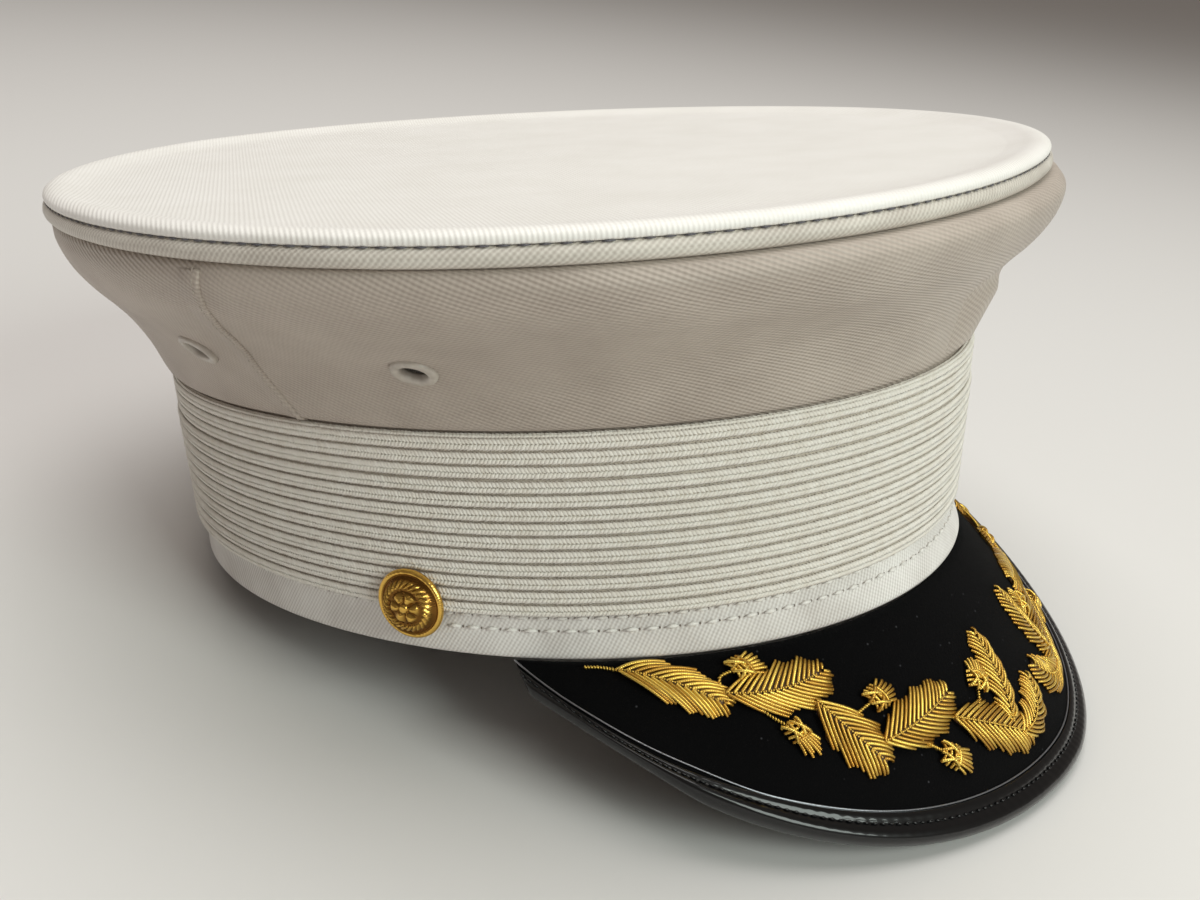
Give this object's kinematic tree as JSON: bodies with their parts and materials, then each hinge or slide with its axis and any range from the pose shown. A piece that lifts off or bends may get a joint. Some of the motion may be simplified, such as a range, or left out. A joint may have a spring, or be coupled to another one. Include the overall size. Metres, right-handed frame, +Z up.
{
  "type": "peaked cap",
  "caption": "White bell-crown peaked cap with a ribbed braid band, gilt side buttons and a black felt peak edged in patent leather and embroidered with gold oak leaves.",
  "frame": {"origin": "middle of the bounding box on the floor the cap rests on", "axes": "+Z up, -Y towards the front of the cap, -X towards the wearer's right; the cap rests on the rear of its band and the front of its peak"},
  "size_m": [0.248, 0.2844, 0.1354],
  "materials": {
    "coated_twill": "white coated twill with a soft sheen",
    "braid": "matt white ribbed braid",
    "painted_eyelet": "white enamel on metal",
    "felt": "black wool felt",
    "patent_leather": "glossy black patent leather",
    "bullion": "gold bullion thread",
    "gilt": "polished gilt"
  },
  "bodies": {
    "root": {"band_body": "coated_twill", "band_braid": "braid", "crown_side": "coated_twill", "crown_piping": "coated_twill", "crown_top": "coated_twill", "front_stay": "coated_twill", "eyelet_left_front": "painted_eyelet", "eyelet_left_rear": "painted_eyelet", "eyelet_right_rear": "painted_eyelet", "eyelet_right_front": "painted_eyelet", "peak_board": "felt", "peak_binding": "patent_leather", "oak_spray_right": "bullion", "oak_spray_left": "bullion", "button_right": "gilt", "button_left": "gilt"}
  },
  "joints": []
}
